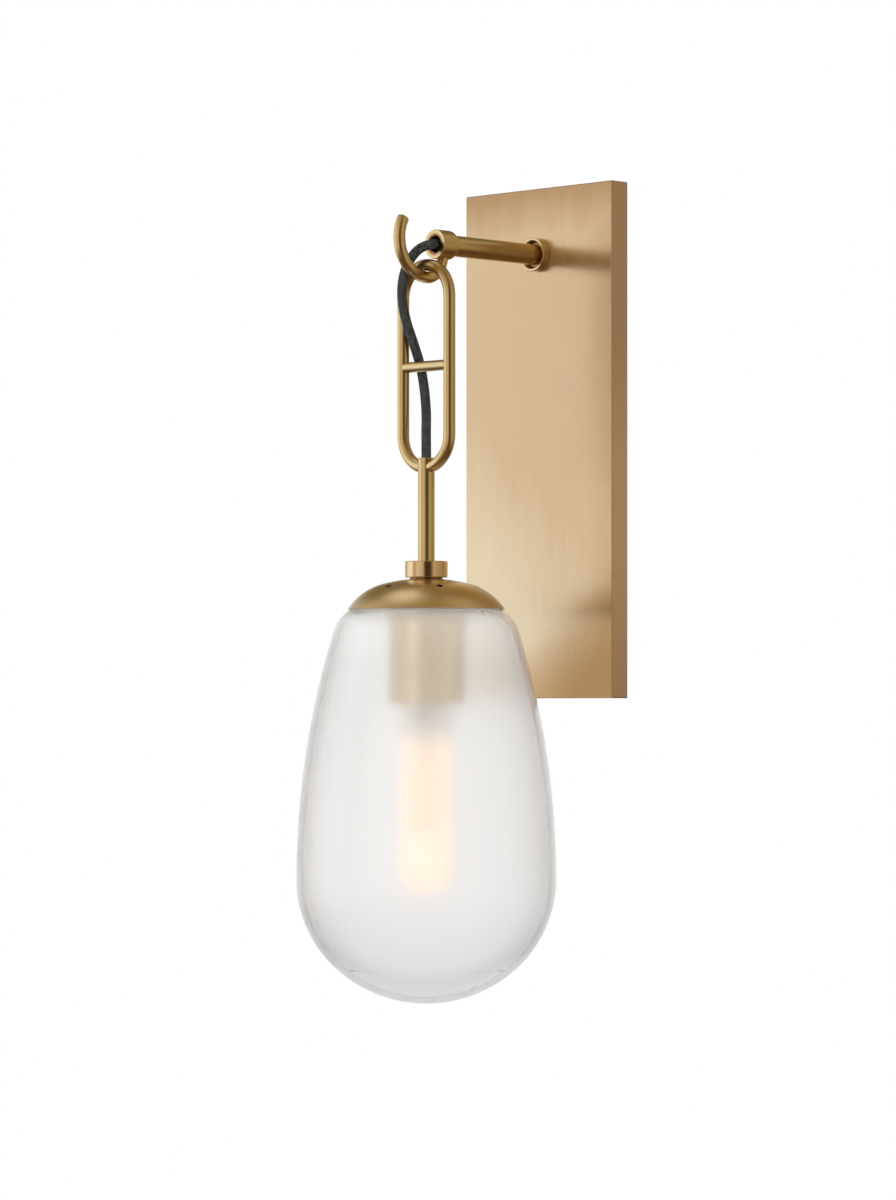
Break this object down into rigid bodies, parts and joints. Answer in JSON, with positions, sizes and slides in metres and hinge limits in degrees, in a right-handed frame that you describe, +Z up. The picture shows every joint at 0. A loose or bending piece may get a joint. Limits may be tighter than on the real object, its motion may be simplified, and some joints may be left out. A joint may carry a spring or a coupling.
{
  "type": "wall sconce",
  "caption": "Wall sconce: a tall flat backplate, a short arm with a hook, and an elongated link that carries a domed cap and a closed glass shade, with a free cord.",
  "frame": {"origin": "on the wall, midway between the two outlet box screws, at the centre of the backplate", "axes": "+Z up, +Y into the wall, +X to the right of a person who faces the wall; the light stands out towards -Y"},
  "size_m": [0.1588, 0.1919, 0.5065],
  "materials": {
    "plate_brass": "brushed along its length and lacquered, a satin sheen",
    "brass": "turned and drawn brass, satin lacquer",
    "zinc_steel": "zinc plated steel",
    "ground_green": "green dyed steel screw",
    "cord_cover": "black braided cover over two wires",
    "wire_black": "insulated wire",
    "wire_white": "insulated wire",
    "wire_green": "insulated wire",
    "connector_plastic": "moulded wire connector",
    "shade_glass": "blown glass, clear outside, frosted inside",
    "socket_metal": "drawn sheet",
    "shell_metal": "pressed sheet with a rolled thread",
    "porcelain": "glazed ceramic",
    "bulb_glass": "thin blown glass, etched",
    "bulb_insulator": "black glass-like insulator",
    "filament": "coated filament sticks"
  },
  "bodies": {
    "root": {"backplate": "plate_brass", "mounting_bracket": "zinc_steel", "set_screws": "brass", "ground_screw": "ground_green", "arm_flange": "brass", "flange_washer": "brass", "arm_tube": "brass", "arm_nipple": "zinc_steel", "arm_lockwasher": "zinc_steel", "arm_nut": "zinc_steel", "ferrule": "brass", "hook": "brass", "cord_in_arm": "cord_cover", "lead_live": "wire_black", "lead_neutral": "wire_white", "lead_ground": "wire_green", "wire_connectors": "connector_plastic", "cord": "cord_cover"},
    "pendant": {"link": "brass", "link_crossbar": "brass", "stem": "brass", "collar": "brass", "collar_washer": "brass", "cap": "brass", "shade_gallery": "brass", "socket_cup": "brass", "socket_lockwasher": "zinc_steel", "socket_nut": "zinc_steel", "socket_cap": "socket_metal", "socket_body": "porcelain", "screw_shell": "shell_metal", "center_contact": "socket_metal", "terminal_screws": "zinc_steel", "socket_leads": "wire_white", "cord_in_stem": "cord_cover"},
    "shade": {"glass_shade": "shade_glass", "shade_ring": "brass"},
    "bulb": {"bulb_base": "shell_metal", "bulb_insulator": "bulb_insulator", "bulb_contact": "shell_metal", "bulb_glass": "bulb_glass", "bulb_mount": "bulb_glass", "bulb_filaments": "filament"}
  },
  "joints": [
    {"name": "pendant_swing", "type": "hinge", "parent": "root", "child": "pendant", "pos_m": [0, -0.1125, 0.0974], "axis": [0, 1, 0], "range_deg": [-25, 25], "deforming": ["cord"]},
    {"name": "shade_unscrew", "type": "slide", "parent": "pendant", "child": "shade", "axis": [0, 0, -1], "range_m": [0, 0.19]},
    {"name": "bulb_unscrew", "type": "slide", "parent": "pendant", "child": "bulb", "axis": [0, 0, -1], "range_m": [0, 0.032]}
  ]
}
